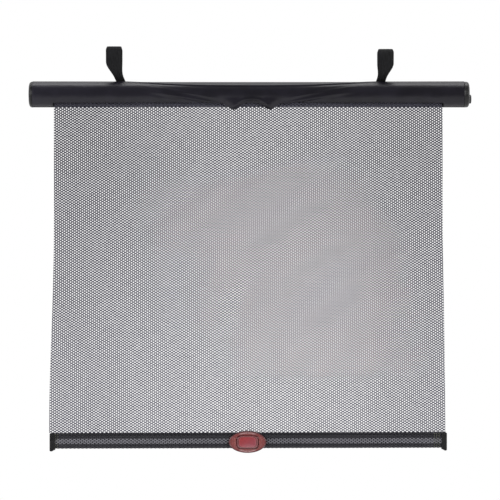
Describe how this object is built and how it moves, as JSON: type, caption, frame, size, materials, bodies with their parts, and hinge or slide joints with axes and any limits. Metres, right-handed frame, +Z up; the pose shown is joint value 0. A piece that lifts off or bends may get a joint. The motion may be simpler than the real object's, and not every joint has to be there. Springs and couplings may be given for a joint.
{
  "type": "car side window roller sunshade",
  "caption": "Roller sunshade for a car side window: knitted mesh screen on a spring roller in a covered tube, hung by webbing loops, with a hem bar, oval badge and release button.",
  "frame": {"origin": "on the line that the strap loops hang from, at the inside top of the left loop, midway between the ends of the tube", "axes": "+X to the right along the tube as seen from the front, -Y towards the viewer, +Z up"},
  "size_m": [0.5021, 0.0299, 0.4606],
  "materials": {
    "tube_aluminium": "mill finish extrusion",
    "cover_vinyl": "satin black soft vinyl",
    "cap_plastic": "satin black moulding",
    "webbing": "black woven tape",
    "steel": "drawn wire and turned bar",
    "white_plastic": "natural acetal moulding",
    "button_plastic": "dark grey moulding",
    "screen_knit": "open knitted polyester mesh",
    "hem_knit": "knitted mesh folded over the batten",
    "batten_plastic": "glossy black extrusion",
    "binding_cloth": "black sewn binding",
    "badge_red": "deep red gloss moulding",
    "window_red": "clear tinted window",
    "badge_card": "printed colour card"
  },
  "bodies": {
    "cassette": {"cassette_tube": "tube_aluminium", "cover_sleeve": "cover_vinyl", "left_end_cap": "cap_plastic", "right_end_cap": "cap_plastic", "left_strap": "webbing", "right_strap": "webbing", "spring_arbor": "steel", "torsion_spring": "steel", "spring_collar": "white_plastic", "button_retainer": "white_plastic", "axle_pin": "steel", "button_spring": "steel", "mesh_screen": "screen_knit"},
    "roller": {"roller_tube": "tube_aluminium", "clamp_strip": "white_plastic", "wound_mesh": "screen_knit", "bearing_plug": "white_plastic", "ratchet_plug": "white_plastic"},
    "hem": {"hem_pocket": "hem_knit", "hem_batten": "batten_plastic", "left_hem_binding": "binding_cloth", "right_hem_binding": "binding_cloth", "badge_front": "badge_red", "badge_window": "window_red", "badge_insert": "badge_card", "badge_back": "badge_red"},
    "button": {"release_button": "button_plastic"}
  },
  "joints": [
    {"name": "hem_lift", "type": "slide", "parent": "cassette", "child": "hem", "axis": [0, 0, 1], "range_m": [0, 0.363], "deforming": ["mesh_screen"]},
    {"name": "roller_spin", "type": "hinge", "parent": "cassette", "child": "roller", "pos_m": [0, 0, -0.0534], "axis": [-1, 0, 0], "range_deg": [0, 2251]},
    {"name": "button_press", "type": "slide", "parent": "cassette", "child": "button", "axis": [-1, 0, 0], "range_m": [0, 0.002], "stiffness_N_per_m": 600, "springref_m": -0.001, "deforming": ["button_spring"]}
  ],
  "couplings": [
    {"joint": "roller_spin", "follows": "hem_lift", "rad_per_m": 108.18}
  ]
}
